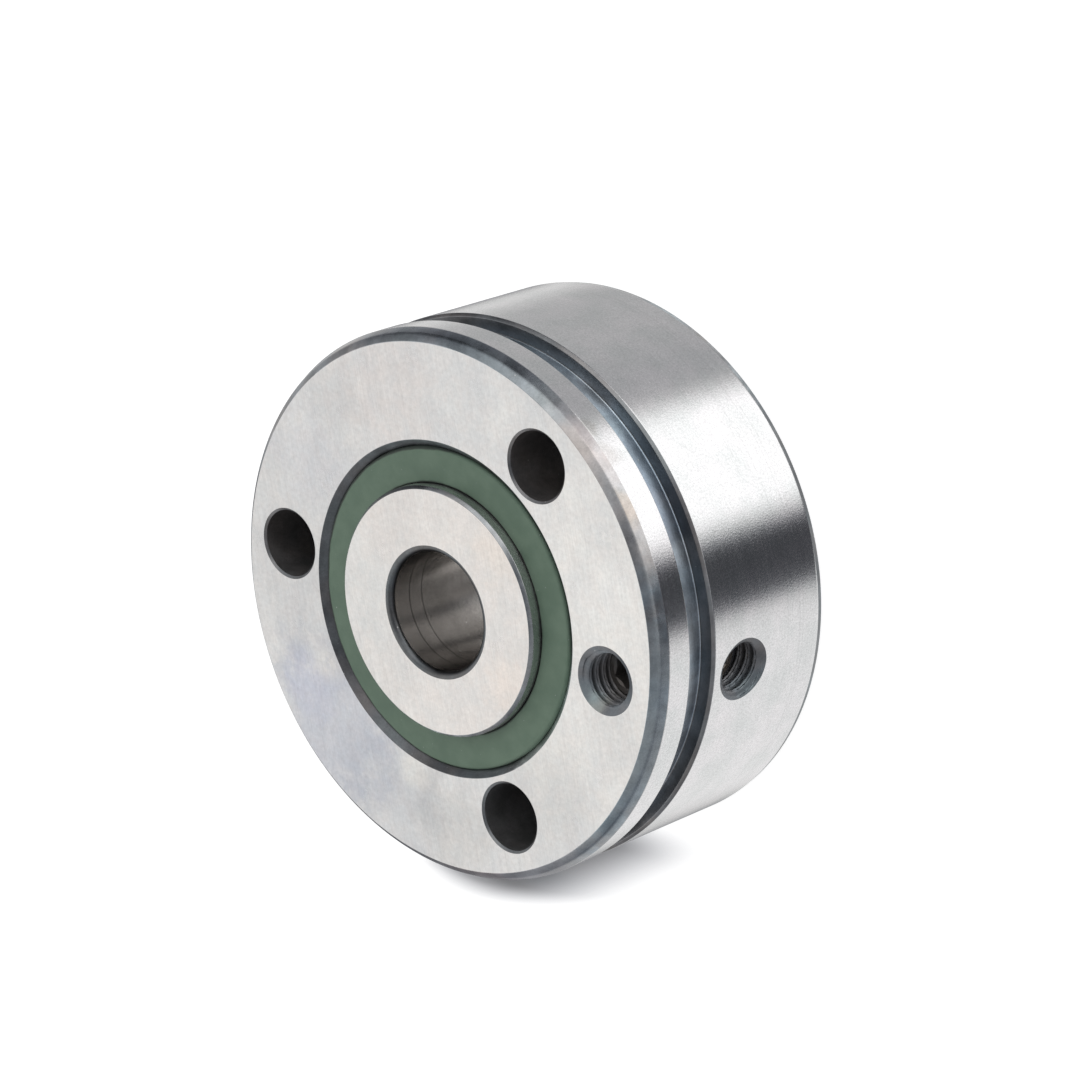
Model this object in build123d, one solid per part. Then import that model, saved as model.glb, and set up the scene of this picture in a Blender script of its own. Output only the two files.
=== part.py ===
from build123d import *
from math import acos, cos, degrees, radians, sin, tan
import os

# Screw-mounted angular contact thrust ball bearing with two rows of balls, standing on its back face.
# Sizes are in millimetres. Z is the bearing axis, the back face lies at z = 0, and the lubrication
# holes lie on +X.

# Envelope of the bearing
outer_dia = 55.0
bore_dia = 12.0
outer_ring_width = 24.0
inner_ring_dia = 25.0
front_step = 1.0
back_recess = 0.05
halves_gap = 0.05

# Balls and raceways
ball_dia = 5.556
balls_per_row = 12
ball_centre_over_shoulder = 0.75
contact_angle = 60.0
raceway_conformity = 0.52
ball_clearance = 0.04

# Snap cages
cage_clearance = 0.35
pocket_clearance = 0.15
cage_back_wall = 0.85
cage_to_seal = 0.55
horn_length = 1.4
horn_tip_cut = 0.85
horn_tip_slope = 1.6

# Lip seals and their seats
seal_recess = 0.35
seal_thickness = 1.9
seal_edge_round = 0.35
seal_seat_clearance = 0.03
seal_bead_height = 0.3
seal_bead_width = 0.6
seal_bead_depth = 0.9
lip_clearance = 0.05
lip_height = 0.75
lip_edge = 0.15
lip_root_width = 0.7
seal_web = 0.9
seal_heel_width = 0.8

# Turned edges of the outer ring
front_chamfer_width = 0.7
front_chamfer_depth = 0.6
front_taper_width = 0.42
front_taper_depth = 0.95
back_bevel_width = 0.35
back_bevel_depth = 0.7
mouth_chamfer = 0.7
groove_to_front = 4.5
groove_width = 3.3
groove_depth = 1.6
groove_front_chamfer = 0.15
groove_back_chamfer = 0.3

# Turned edges of the inner ring halves
flange_chamfer = 0.3
bore_edge_round = 0.65
joint_chamfer = 0.2

# Holes for the mounting screws
screw_circle_dia = 42.0
screw_hole_dia = 6.8
screw_hole_count = 3
first_screw_angle = 60.0
screw_hole_chamfer = 0.3

# Lubrication holes, tapped at the mouth, and the set screws that close them
tapping_dia = 5.0
countersink_dia = 6.8
countersink_angle = 120.0
tapped_depth = 8.0
drill_point_angle = 118.0
drilling_dia = 2.5
radial_hole_to_front = 12.35
set_screw_depth = 3.2
set_screw_length = 4.0
set_screw_clearance = 0.05
set_screw_chamfer = 0.3
socket_across_flats = 3.0
socket_depth = 2.0
socket_chamfer = 0.2

# Places that follow from the sizes
front_face = outer_ring_width
inner_front_face = front_face + front_step
inner_half_width = (inner_front_face - back_recess - halves_gap) / 2
mid_plane = back_recess + inner_half_width + halves_gap / 2
outer_r = outer_dia / 2
bore_r = bore_dia / 2
shoulder_r = inner_ring_dia / 2
ball_r = ball_dia / 2
ball_circle_r = shoulder_r + ball_centre_over_shoulder
pocket_r = ball_r + pocket_clearance
seal_back = front_face - seal_recess - seal_thickness
cage_back = seal_back - cage_to_seal
row_offset = cage_back - cage_back_wall - pocket_r - mid_plane
screw_circle_r = screw_circle_dia / 2
raceway_r = raceway_conformity * ball_dia
raceway_shift = raceway_r - ball_r - ball_clearance
contact_cos = cos(radians(contact_angle))
contact_sin = sin(radians(contact_angle))
outer_track_r = ball_circle_r - raceway_shift * contact_cos
inner_track_r = ball_circle_r + raceway_shift * contact_cos
track_shift = raceway_shift * contact_sin
seat_r = outer_track_r + raceway_r
track_floor_r = inner_track_r - raceway_r
shoulder_angle = degrees(acos((inner_track_r - shoulder_r) / raceway_r))
rib_r = 2 * ball_circle_r - shoulder_r


def turned(*outline):
    """Revolve a closed outline of edges, drawn as radius and height, about the bearing axis."""
    edges = [edge for line in outline for edge in line.edges()]
    return revolve(Plane.XZ * make_face(edges), Axis.Z)


def outer_raceway(side):
    """Arc from the seal seat to the shoulder of the rib, at the front (1) or the back (-1)."""
    centre = (outer_track_r, mid_plane + side * (row_offset + track_shift))
    return CenterArc(centre, raceway_r, 0, -side * shoulder_angle)


def seal_seat(side):
    """Outline of one end of the outer ring's bore: the mouth, the bead groove and the plain seat."""
    face = front_face if side > 0 else 0
    bead_r = seat_r + seal_bead_height
    bead_half = seal_bead_width / 2 + seal_seat_clearance
    bead_mid = seal_recess + seal_bead_depth
    return Polyline(
        (seat_r + mouth_chamfer, face),
        (seat_r, face - side * mouth_chamfer),
        (seat_r, face - side * (bead_mid - bead_half)),
        (bead_r, face - side * (bead_mid - bead_half)),
        (bead_r, face - side * (bead_mid + bead_half)),
        (seat_r, face - side * (bead_mid + bead_half)),
        outer_raceway(side) @ 0,
    )


def rim():
    """Outline of the outer ring from its back face over the rim and its groove to the front face."""
    groove_top = front_face - groove_to_front
    groove_bottom = groove_top - groove_width
    groove_r = outer_r - groove_depth
    return Polyline(
        (seat_r + mouth_chamfer, 0),
        (outer_r - back_bevel_width, 0),
        (outer_r, back_bevel_depth),
        (outer_r, groove_bottom - groove_back_chamfer),
        (outer_r - groove_back_chamfer, groove_bottom),
        (groove_r, groove_bottom),
        (groove_r, groove_top),
        (outer_r - groove_front_chamfer, groove_top),
        (outer_r, groove_top + groove_front_chamfer),
        (outer_r, front_face - front_chamfer_depth - front_taper_depth),
        (outer_r - front_taper_width, front_face - front_chamfer_depth),
        (outer_r - front_taper_width - front_chamfer_width, front_face),
        (seat_r + mouth_chamfer, front_face),
    )


def screw_hole():
    """Cutter for one through hole, chamfered at both faces."""
    hole_r = screw_hole_dia / 2
    mouth_r = hole_r + screw_hole_chamfer
    outline = Polyline(
        (0, 0),
        (mouth_r, 0),
        (hole_r, screw_hole_chamfer),
        (hole_r, front_face - screw_hole_chamfer),
        (mouth_r, front_face),
        (0, front_face),
        close=True,
    )
    return turned(outline)


def lubrication_hole(reach):
    """Cutter for a tapped hole that opens upwards at z = 0 and narrows to a drilling of the given reach."""
    tap_r = tapping_dia / 2
    mouth_r = countersink_dia / 2
    drilling_r = drilling_dia / 2
    sink = (mouth_r - tap_r) / tan(radians(countersink_angle / 2))
    point = (tap_r - drilling_r) / tan(radians(drill_point_angle / 2))
    outline = Polyline(
        (0, sink),
        (2 * mouth_r - tap_r, sink),
        (tap_r, -sink),
        (tap_r, -tapped_depth),
        (drilling_r, -tapped_depth - point),
        (drilling_r, -reach),
        (0, -reach),
        close=True,
    )
    return turned(outline)


def axial_hole_mouth():
    """Where the lubrication hole opens in the front face."""
    return Pos(screw_circle_r, 0, front_face)


def radial_hole_mouth():
    """Where the lubrication hole opens in the rim, turned so that its own Z points outwards."""
    return Pos(outer_r, 0, front_face - radial_hole_to_front) * Rot(0, 90, 0)


def outer_ring():
    front = outer_raceway(1)
    back = outer_raceway(-1)
    rib = Line(front @ 1, back @ 1)
    ring = turned(rim(), seal_seat(1), front, rib, back, seal_seat(-1))
    ring -= PolarLocations(screw_circle_r, screw_hole_count, first_screw_angle) * screw_hole()
    ring -= axial_hole_mouth() * lubrication_hole(radial_hole_to_front)
    ring -= radial_hole_mouth() * lubrication_hole(outer_r - rib_r + row_offset / 2)
    return ring


def inner_ring_front():
    """Half of the split inner ring: the thick flange carries the raceway, and its foot meets the rear half."""
    joint = mid_plane + halves_gap / 2
    centre = (inner_track_r, mid_plane + row_offset - track_shift)
    raceway = CenterArc(centre, raceway_r, 180, -shoulder_angle)
    round_centre = (bore_r + bore_edge_round, inner_front_face - bore_edge_round)
    bore_edge = CenterArc(round_centre, bore_edge_round, 90, 90)
    outside = Polyline(
        raceway @ 1,
        (shoulder_r, inner_front_face - flange_chamfer),
        (shoulder_r - flange_chamfer, inner_front_face),
        bore_edge @ 0,
    )
    inside = Polyline(
        bore_edge @ 1,
        (bore_r, joint + joint_chamfer),
        (bore_r + joint_chamfer, joint),
        (track_floor_r - joint_chamfer, joint),
        (track_floor_r, joint + joint_chamfer),
        raceway @ 0,
    )
    return turned(raceway, outside, bore_edge, inside)


def ball_angle(row_phase, index):
    return 360.0 / balls_per_row * (index + row_phase)


def cage_front():
    """Snap cage: a ring behind the balls, with horns that reach between them and grip each ball."""
    inside_r = shoulder_r + cage_clearance
    outside_r = seat_r - cage_clearance
    row = mid_plane + row_offset
    tip = row - horn_length
    blank = Polyline(
        (inside_r, tip),
        (outside_r - horn_tip_cut, tip),
        (outside_r, tip + horn_tip_slope),
        (outside_r, cage_back),
        (inside_r, cage_back),
        close=True,
    )
    cage = turned(blank)
    cage -= Pos(0, 0, row) * PolarLocations(ball_circle_r, balls_per_row) * Sphere(pocket_r)
    return cage


def seal_front():
    """Moulded lip seal: a flat face, a bead that snaps into the ring's groove and a lip on the inner ring."""
    face = front_face - seal_recess
    rim_r = seat_r - seal_seat_clearance
    bead_r = rim_r + seal_bead_height - seal_seat_clearance
    bead_top = face - seal_bead_depth + seal_bead_width / 2
    bead_bottom = bead_top - seal_bead_width
    lip_r = shoulder_r + lip_clearance
    round_centre = (rim_r - seal_edge_round, face - seal_edge_round)
    edge = CenterArc(round_centre, seal_edge_round, 0, 90)
    outline = Polyline(
        edge @ 1,
        (lip_r + lip_edge, face),
        (lip_r, face - lip_edge),
        (lip_r, face - lip_height),
        (lip_r + lip_root_width, face - seal_web),
        (rim_r - seal_heel_width, face - seal_web),
        (rim_r - seal_heel_width, seal_back),
        (rim_r, seal_back),
        (rim_r, bead_bottom),
        (bead_r, bead_bottom),
        (bead_r, bead_top),
        (rim_r, bead_top),
        edge @ 0,
    )
    return turned(outline, edge)


def set_screw():
    """Core of a headless screw with a hexagon socket, its top face at z = 0."""
    core_r = tapping_dia / 2 - set_screw_clearance
    outline = Polyline(
        (0, 0),
        (core_r - set_screw_chamfer, 0),
        (core_r, -set_screw_chamfer),
        (core_r, set_screw_chamfer - set_screw_length),
        (core_r - set_screw_chamfer, -set_screw_length),
        (0, -set_screw_length),
        close=True,
    )
    socket = RegularPolygon(socket_across_flats / 2, 6, major_radius=False)
    lead_in_r = socket_across_flats / 2 + socket_chamfer
    lead_in = turned(Polyline((0, 0), (lead_in_r, 0), (0, -lead_in_r), close=True))
    return turned(outline) - extrude(socket, -socket_depth) - lead_in


inner_mirror = Plane.XY.offset(mid_plane)
outer_mirror = Plane.XY.offset(front_face / 2)
half_pitch = Rot(0, 0, ball_angle(0.5, 0))
screw_seat = Pos(0, 0, -set_screw_depth)

parts = {
    "outer_ring": outer_ring(),
    "inner_ring_front": inner_ring_front(),
    "inner_ring_rear": mirror(inner_ring_front(), about=inner_mirror),
    "cage_front": cage_front(),
    "cage_rear": half_pitch * mirror(cage_front(), about=inner_mirror),
    "seal_front": seal_front(),
    "seal_rear": mirror(seal_front(), about=outer_mirror),
    "set_screw_axial": axial_hole_mouth() * screw_seat * set_screw(),
    "set_screw_radial": radial_hole_mouth() * screw_seat * set_screw(),
}

for row, side, phase in (("front", 1, 0), ("rear", -1, 0.5)):
    height = mid_plane + side * row_offset
    for index in range(balls_per_row):
        place = Rot(0, 0, ball_angle(phase, index)) * Pos(ball_circle_r, 0, height)
        parts[f"ball_{row}_{index + 1:02d}"] = place * Sphere(ball_r)

os.makedirs("parts", exist_ok=True)
for node, shape in parts.items():
    export_step(shape, f"parts/{node}.step")
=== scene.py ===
import math

import bmesh
import bpy
from mathutils import Matrix, Vector


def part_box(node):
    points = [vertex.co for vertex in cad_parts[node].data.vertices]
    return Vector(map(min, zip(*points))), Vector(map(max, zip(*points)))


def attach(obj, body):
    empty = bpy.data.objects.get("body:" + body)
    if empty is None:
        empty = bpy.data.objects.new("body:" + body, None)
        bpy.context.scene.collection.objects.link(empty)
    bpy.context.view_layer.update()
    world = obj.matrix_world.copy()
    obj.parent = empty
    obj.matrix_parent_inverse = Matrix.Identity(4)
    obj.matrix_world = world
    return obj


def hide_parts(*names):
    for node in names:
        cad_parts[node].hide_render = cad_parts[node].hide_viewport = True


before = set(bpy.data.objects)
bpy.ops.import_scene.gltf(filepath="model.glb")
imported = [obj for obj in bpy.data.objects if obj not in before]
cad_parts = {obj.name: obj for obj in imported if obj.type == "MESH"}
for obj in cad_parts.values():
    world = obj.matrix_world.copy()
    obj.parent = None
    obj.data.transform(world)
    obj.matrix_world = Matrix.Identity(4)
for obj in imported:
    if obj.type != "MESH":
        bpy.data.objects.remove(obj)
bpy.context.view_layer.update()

# Sizes are in metres in the frame of the solids: Z is the bearing axis, the back face lies at z = 0 and
# the lubrication holes lie on +X.
MM = 0.001
FULL_TURN = 2 * math.pi

# Measures that tell a piece's surfaces apart: a hair's breadth, and how upright a level face's normal is
hair = 0.02 * MM
level = 0.99

# Places read from the solids
ring_low, ring_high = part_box("outer_ring")
ball_low, ball_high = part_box("ball_front_01")
front_half_low, front_half_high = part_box("inner_ring_front")
rear_half_low, rear_half_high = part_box("inner_ring_rear")
front_seal_low, front_seal_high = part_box("seal_front")
axial_screw_low, axial_screw_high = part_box("set_screw_axial")
radial_screw_low, radial_screw_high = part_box("set_screw_radial")

outer_r = ring_high.x
ring_width = ring_high.z
inner_top = front_half_high.z
inner_bottom = rear_half_low.z
mid_plane = (inner_top + inner_bottom) / 2
shoulder_r = front_half_high.x
ball_r = (ball_high.z - ball_low.z) / 2
ball_circle_r = (ball_high.x + ball_low.x) / 2
row_offset = (ball_high.z + ball_low.z) / 2 - mid_plane

# Raceways, as arcs a little larger than the balls
contact_angle = math.radians(60)
conformity = 0.52
ball_clearance = 0.04 * MM
raceway_r = conformity * 2 * ball_r
raceway_shift = raceway_r - ball_r - ball_clearance
track_shift = raceway_shift * math.sin(contact_angle)
outer_track_r = ball_circle_r - raceway_shift * math.cos(contact_angle)
inner_track_r = ball_circle_r + raceway_shift * math.cos(contact_angle)
shoulder_angle = math.acos((inner_track_r - shoulder_r) / raceway_r)
seat_r = outer_track_r + raceway_r

# Turned edges of the outer ring
chamfer_width = 0.7 * MM
chamfer_depth = 0.6 * MM
taper_width = 0.42 * MM
taper_depth = 0.95 * MM
back_bevel_width = 0.14 * MM
back_bevel_depth = 0.7 * MM
mouth_chamfer = 0.7 * MM
groove_setback = 4.5 * MM
groove_width = 3.3 * MM
groove_depth = 1.6 * MM
groove_top = ring_width - groove_setback
groove_bottom = groove_top - groove_width
groove_r = outer_r - groove_depth
groove_front_chamfer = 0.15 * MM
groove_back_chamfer = 0.3 * MM
groove_back_corner = 0.2 * MM
groove_front_corner = 0.15 * MM
ground_edge = 0.05 * MM
fine_edge = 0.04 * MM
groove_lip_edge = 0.02 * MM
rim_edge = 0.07 * MM
taper_round = 0.22 * MM
back_bevel_round = 0.1 * MM

# Seals and their seats
seal_recess = ring_width - front_seal_high.z
seal_thickness = front_seal_high.z - front_seal_low.z
seal_bead_height = 0.3 * MM
seal_bead_width = 0.6 * MM
seal_bead_depth = 0.9 * MM
seal_clearance = 0.03 * MM
seal_edge = 0.35 * MM
seal_web = 0.9 * MM
seal_heel_width = 0.8 * MM
lip_clearance = 0.05 * MM
lip_r = shoulder_r + lip_clearance
lip_edge = 0.15 * MM
lip_height = 0.75 * MM
lip_root_width = 0.7 * MM
moulded_edge = 0.1 * MM
thin_moulded_edge = 0.05 * MM

# Inner ring halves
bore_r = 6.0 * MM
bore_edge = 0.65 * MM
flange_chamfer = 0.3 * MM
joint_chamfer = 0.2 * MM
halves_gap = 0.05 * MM

# Screw holes and tapped lubrication holes
hole_circle_r = 21.0 * MM
screw_hole_r = 3.4 * MM
screw_hole_chamfer = 0.24 * MM
screw_hole_chamfer_depth = 0.18 * MM
screw_hole_angles = [math.radians(60 + 120 * turn) for turn in range(3)]
radial_hole_height = (radial_screw_low.z + radial_screw_high.z) / 2
thread_minor_r = 2.5 * MM
thread_major_r = 3.0 * MM
thread_pitch = 1.0 * MM
thread_length = 8.0 * MM
thread_rows_per_mm = 18
axial_thread_start = 0.23
radial_thread_start = -0.2
tapped_mouth_r = 3.4 * MM
countersink_slope = math.tan(math.radians(60))
drilling_r = 1.25 * MM
drill_point_half_angle = math.radians(59)
socket_across_flats = 3.0 * MM
socket_depth = 2.0 * MM
socket_lead_in = 0.2 * MM
screw_core_r = thread_minor_r - 0.05 * MM
screw_tip = 0.45 * MM
screw_clearance = 0.04 * MM
screw_rows_per_mm = 14

# Thread form from the middle of a root to the middle of a crest, in shares of half a pitch, with the
# depth of the crest's seam as a share of the thread's depth
root_share = 0.08
flank_share = 0.54
seam_start = 0.76
seam_depth = 0.26

# How the ring rests on its table in the photograph
rest_angle = math.radians(-84.5)
table_size = 120 * MM


# Shared mesh steps


def arc(centre_r, centre_z, radius, start, sweep, steps):
    """Points on an arc of an outline, angles from the radial direction towards +Z."""
    angles = [start + sweep * step / steps for step in range(steps + 1)]
    return [(centre_r + radius * math.cos(a), centre_z + radius * math.sin(a)) for a in angles]


def outline_wire(bm, outline, closed):
    """Wire of (radius, height[, rounding]) points in the XZ plane, its marked corners rounded."""
    verts = [bm.verts.new((point[0], 0, point[1])) for point in outline]
    pairs = list(zip(verts, verts[1:]))
    if closed:
        pairs.append((verts[-1], verts[0]))
    for first, second in pairs:
        bm.edges.new((first, second))
    for vert, point in zip(verts, outline):
        if len(point) > 2:
            bmesh.ops.bevel(bm, geom=[vert], offset=point[2], offset_type="OFFSET", segments=4,
                            profile=0.5, affect="VERTICES", material=-1)


def turned(outline, steps, closed=True):
    """Bmesh of an outline turned once about Z."""
    bm = bmesh.new()
    outline_wire(bm, outline, closed)
    bmesh.ops.spin(bm, geom=bm.verts[:] + bm.edges[:], cent=(0, 0, 0), axis=(0, 0, 1), dvec=(0, 0, 0),
                   angle=FULL_TURN, steps=steps, use_merge=True, use_normal_flip=False,
                   use_duplicate=False)
    bmesh.ops.remove_doubles(bm, verts=bm.verts, dist=1e-7)
    bmesh.ops.recalc_face_normals(bm, faces=bm.faces)
    return bm


def as_object(name, bm):
    mesh = bpy.data.meshes.new(name)
    bm.to_mesh(mesh)
    bm.free()
    piece = bpy.data.objects.new(name, mesh)
    bpy.context.scene.collection.objects.link(piece)
    return piece


def settle_modifiers(piece):
    """Keep the mesh that the piece's modifiers give, and drop the modifiers."""
    graph = bpy.context.evaluated_depsgraph_get()
    mesh = bpy.data.meshes.new_from_object(piece.evaluated_get(graph))
    piece.modifiers.clear()
    piece.data = mesh


def cut(piece, cutters):
    """Subtract the cutters from the piece and delete them."""
    for cutter in cutters:
        boolean = piece.modifiers.new("cut", "BOOLEAN")
        boolean.operation = "DIFFERENCE"
        boolean.solver = "EXACT"
        boolean.object = cutter
    settle_modifiers(piece)
    for cutter in cutters:
        bpy.data.objects.remove(cutter)


def smooth_between_edges(piece, angle=28):
    """Smooth shading inside each turned surface, with flat faces kept flat up to their edges."""
    piece.data.shade_smooth()
    piece.data.set_sharp_from_angle(angle=math.radians(angle))
    weighted = piece.modifiers.new("flat faces", "WEIGHTED_NORMAL")
    weighted.keep_sharp = True
    weighted.weight = 90
    settle_modifiers(piece)


def finish_zones(piece, zones):
    """Give each face the first material whose test of the face's centre and normal holds."""
    mesh = piece.data
    mesh.materials.clear()
    for name, _ in zones:
        mesh.materials.append(materials[name])
    for face in mesh.polygons:
        for index, (_, inside) in enumerate(zones):
            if inside(face.center, face.normal):
                face.material_index = index
                break


# Shader steps


def link(tree, source, target):
    """Connect a socket, or set a plain value."""
    if isinstance(source, bpy.types.NodeSocket):
        tree.links.new(source, target)
    else:
        target.default_value = source


def calc(tree, operation, *values):
    node = tree.nodes.new("ShaderNodeMath")
    node.operation = operation
    for value, socket in zip(values, node.inputs):
        link(tree, value, socket)
    return node.outputs[0]


def ramp_between(tree, value, low, high, to_low=0.0, to_high=1.0):
    node = tree.nodes.new("ShaderNodeMapRange")
    node.interpolation_type = "SMOOTHSTEP"
    for value_in, name in ((value, "Value"), (low, "From Min"), (high, "From Max"),
                           (to_low, "To Min"), (to_high, "To Max")):
        link(tree, value_in, node.inputs[name])
    return node.outputs["Result"]


def blend_colours(tree, factor, first, second, how="MIX"):
    node = tree.nodes.new("ShaderNodeMix")
    node.data_type = "RGBA"
    node.blend_type = how
    link(tree, factor, node.inputs["Factor"])
    for value, name in ((first, "A"), (second, "B")):
        target = next(s for s in node.inputs if s.name == name and s.type == "RGBA")
        if isinstance(value, (tuple, list)):
            value = (*value, 1.0)
        link(tree, value, target)
    return next(s for s in node.outputs if s.type == "RGBA")


def noise(tree, vector, scale, detail=3.0, roughness=0.55):
    node = tree.nodes.new("ShaderNodeTexNoise")
    link(tree, vector, node.inputs["Vector"])
    node.inputs["Scale"].default_value = scale
    node.inputs["Detail"].default_value = detail
    node.inputs["Roughness"].default_value = roughness
    return node.outputs[0]


def shaded(tree, colour, brightness):
    """Multiply a colour by a brightness."""
    grey = tree.nodes.new("ShaderNodeCombineColor")
    for name in ("Red", "Green", "Blue"):
        link(tree, brightness, grey.inputs[name])
    return blend_colours(tree, 1.0, colour, grey.outputs[0], "MULTIPLY")


def weighed(tree, *parts):
    """Sum of values, each times its weight."""
    total = 0.0
    for value, weight in parts:
        total = calc(tree, "ADD", total, calc(tree, "MULTIPLY", value, weight))
    return total


def varied(tree, *parts):
    """Brightness round 1 from noises, each with its strength."""
    brightness = 1.0
    for value, strength in parts:
        swing = calc(tree, "MULTIPLY", calc(tree, "SUBTRACT", value, 0.5), strength)
        brightness = calc(tree, "ADD", swing, brightness)
    return brightness


def combine(tree, x, y, z):
    node = tree.nodes.new("ShaderNodeCombineXYZ")
    for value, socket in zip((x, y, z), node.inputs):
        link(tree, value, socket)
    return node.outputs[0]


def separate(tree, vector):
    node = tree.nodes.new("ShaderNodeSeparateXYZ")
    link(tree, vector, node.inputs[0])
    return node.outputs


def measured(tree, operation, *vectors):
    """Length of a vector, or distance between two."""
    node = tree.nodes.new("ShaderNodeVectorMath")
    node.operation = operation
    for vector, socket in zip(vectors, node.inputs):
        link(tree, vector, socket)
    return node.outputs["Value"]


def drawn_out(tree, along, across, along_scale, across_scale, shift=0.0):
    """Coordinates of a pattern drawn out in one direction; the shift keeps two patterns apart."""
    return combine(tree, calc(tree, "MULTIPLY", along, along_scale),
                   calc(tree, "MULTIPLY", across, across_scale), shift)


def new_group(name, inputs, outputs):
    """Shader node group with float, vector or colour sockets."""
    kinds = {"value": "NodeSocketFloat", "vector": "NodeSocketVector", "colour": "NodeSocketColor"}
    tree = bpy.data.node_groups.new(name, "ShaderNodeTree")
    for socket_name, kind, default in inputs:
        socket = tree.interface.new_socket(socket_name, in_out="INPUT", socket_type=kinds[kind])
        if default is not None:
            socket.default_value = default
    for socket_name, kind in outputs:
        tree.interface.new_socket(socket_name, in_out="OUTPUT", socket_type=kinds[kind])
    return tree, tree.nodes.new("NodeGroupInput").outputs, tree.nodes.new("NodeGroupOutput").inputs


def place_group(tree, group, **values):
    """Put a node group in a material; underscores in the names stand for spaces."""
    node = tree.nodes.new("ShaderNodeGroup")
    node.node_tree = group
    for name, value in values.items():
        link(tree, value, node.inputs[name.replace("_", " ")])
    return node.outputs


# Shared surface effects


def straight_grinding():
    """Fine parallel lines of a flat ground face, with cloudy patches, mottling and stray scratches."""
    tree, given, out = new_group(
        "straight grinding",
        [("Position", "vector", None), ("Direction", "value", 0.0)],
        [("Lines", "value"), ("Clouds", "value"), ("Mottle", "value"), ("Scratches", "value")])
    x, y, _ = separate(tree, given["Position"])
    cosine = calc(tree, "COSINE", given["Direction"])
    sine = calc(tree, "SINE", given["Direction"])
    along = calc(tree, "ADD", calc(tree, "MULTIPLY", x, cosine), calc(tree, "MULTIPLY", y, sine))
    across = calc(tree, "SUBTRACT", calc(tree, "MULTIPLY", y, cosine), calc(tree, "MULTIPLY", x, sine))
    slant = weighed(tree, (along, 0.8), (across, 0.6))
    steep = weighed(tree, (across, 0.8), (along, -0.6))
    fine = drawn_out(tree, along, across, 260.0, 6500.0)
    coarse = drawn_out(tree, along, across, 120.0, 1600.0, 5.0)
    patches = drawn_out(tree, along, across, 190.0, 270.0)
    thin = drawn_out(tree, along, across, 110.0, 3200.0, 9.0)
    stray = drawn_out(tree, slant, steep, 130.0, 3600.0, 2.0)
    lines = weighed(tree, (noise(tree, fine, 1.0, 2.0), 0.65), (noise(tree, coarse, 1.0, 3.0), 0.35))
    scratches = calc(tree, "MAXIMUM", ramp_between(tree, noise(tree, thin, 1.0, 1.0), 0.70, 0.78),
                     ramp_between(tree, noise(tree, stray, 1.0, 1.0), 0.72, 0.80))
    link(tree, lines, out["Lines"])
    link(tree, noise(tree, patches, 1.0, 4.0), out["Clouds"])
    link(tree, noise(tree, given["Position"], 2300.0, 4.0, 0.7), out["Mottle"])
    link(tree, scratches, out["Scratches"])
    return tree


def round_grinding():
    """Fine lines round the axis, as on a ground rim or bore, with soft patches."""
    tree, given, out = new_group(
        "round grinding",
        [("Position", "vector", None)],
        [("Lines", "value"), ("Clouds", "value"), ("Grain", "value"), ("Nicks", "value"),
         ("Radius", "value"), ("Height", "value")])
    x, y, z = separate(tree, given["Position"])
    radius = measured(tree, "LENGTH", combine(tree, x, y, 0.0))
    rows = calc(tree, "ADD", z, radius)

    def turned_lines(wide, narrow, detail):
        place = combine(tree, calc(tree, "MULTIPLY", x, wide), calc(tree, "MULTIPLY", y, wide),
                        calc(tree, "MULTIPLY", rows, narrow))
        return noise(tree, place, 1.0, detail)

    lines = weighed(tree, (turned_lines(500.0, 7000.0, 2.0), 0.6), (turned_lines(40.0, 1300.0, 3.0), 0.4))
    link(tree, lines, out["Lines"])
    link(tree, noise(tree, given["Position"], 260.0, 4.0), out["Clouds"])
    link(tree, noise(tree, given["Position"], 5600.0, 3.0, 0.6), out["Grain"])
    link(tree, ramp_between(tree, noise(tree, given["Position"], 2300.0, 1.0), 0.77, 0.80), out["Nicks"])
    link(tree, radius, out["Radius"])
    link(tree, z, out["Height"])
    return tree


def heat_tint():
    """Thin oxide colours of hardened steel that drift between blue grey, teal and brown."""
    tree, given, out = new_group(
        "heat tint",
        [("Position", "vector", None), ("Steel", "colour", (0.2, 0.23, 0.26, 1.0)),
         ("Amount", "value", 0.5)],
        [("Colour", "colour"), ("Patches", "value")])
    patches = noise(tree, given["Position"], 330.0, 5.0)
    drift = noise(tree, given["Position"], 140.0, 3.0)
    ramp = tree.nodes.new("ShaderNodeValToRGB")
    link(tree, ramp_between(tree, drift, 0.3, 0.7), ramp.inputs[0])
    stops = ramp.color_ramp.elements
    stops[0].position, stops[0].color = 0.0, (0.84, 0.97, 1.0, 1)
    stops[1].position, stops[1].color = 1.0, (1.0, 0.91, 0.85, 1)
    for position, colour in ((0.35, (0.88, 0.95, 1.0, 1)), (0.65, (0.97, 0.96, 0.97, 1))):
        stop = stops.new(position)
        stop.color = colour
    tinted = blend_colours(tree, given["Amount"], given["Steel"],
                           blend_colours(tree, 1.0, given["Steel"], ramp.outputs[0], "MULTIPLY"))
    shade = ramp_between(tree, patches, 0.3, 0.72, 0.80, 1.16)
    link(tree, shaded(tree, tinted, shade), out["Colour"])
    link(tree, patches, out["Patches"])
    return tree


def stain_and_light_patch():
    """Mask of one stain or painted patch of light and shade, with a ragged soft edge, round its centre."""
    tree, given, out = new_group(
        "stain_and_light_patch",
        [("Position", "vector", None), ("Centre", "vector", None), ("Size", "value", 0.005)],
        [("Mask", "value")])
    apart = measured(tree, "DISTANCE", given["Position"], given["Centre"])
    reach = calc(tree, "DIVIDE", apart, given["Size"])
    ragged = calc(tree, "SUBTRACT", noise(tree, given["Position"], 260.0, 6.0, 0.68), 0.5)
    reach = calc(tree, "ADD", reach, calc(tree, "MULTIPLY", ragged, 2.0))
    link(tree, ramp_between(tree, reach, 1.15, 0.35), out["Mask"])
    return tree


effects = {
    "straight": straight_grinding(),
    "round": round_grinding(),
    "tint": heat_tint(),
    "stain_and_light_patch": stain_and_light_patch(),
}


# Materials


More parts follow.
